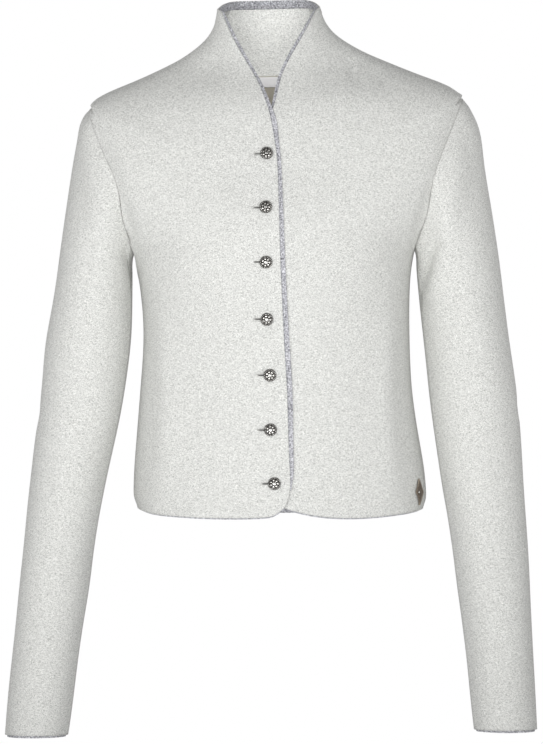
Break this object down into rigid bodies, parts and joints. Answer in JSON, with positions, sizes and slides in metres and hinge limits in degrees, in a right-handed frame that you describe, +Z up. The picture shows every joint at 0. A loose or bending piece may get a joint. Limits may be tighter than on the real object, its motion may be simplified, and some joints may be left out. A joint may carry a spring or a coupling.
{
  "type": "trachten cardigan of boiled wool",
  "caption": "Short fitted trachten cardigan of boiled wool with a grown-on stand collar, contrast edging, ornamental metal buttons and long two-piece sleeves.",
  "frame": {"origin": "between the wearer's shoulders, level with the base of the neck, where the wearer carries the garment", "axes": "+Z up along the wearer, -Y towards the front, +X towards the wearer's left"},
  "size_m": [0.531, 0.2311, 0.7369],
  "materials": {
    "wool": "felted off-white melange boiled wool, matt",
    "edging": "felted grey melange wool strip, matt",
    "silver": "antique silver casting, darkened in the hollows",
    "leather": "worn taupe brown leather",
    "facing": "plain taupe woven facing",
    "label": "bare white woven satin tape"
  },
  "bodies": {
    "root": {"right_front": "wool", "left_front": "wool", "back": "wool", "right_upper_sleeve": "wool", "right_under_sleeve": "wool", "left_upper_sleeve": "wool", "left_under_sleeve": "wool", "right_cuff_edging": "edging", "left_cuff_edging": "edging", "right_front_edging": "edging", "left_front_edging": "edging", "right_hem_edging": "edging", "left_hem_edging": "edging", "back_hem_edging": "edging", "collar_edging": "edging", "neck_facing": "facing", "neck_label": "label", "leather_patch": "leather", "button_1": "silver", "button_2": "silver", "button_3": "silver", "button_4": "silver", "button_5": "silver", "button_6": "silver", "button_7": "silver"}
  },
  "joints": []
}
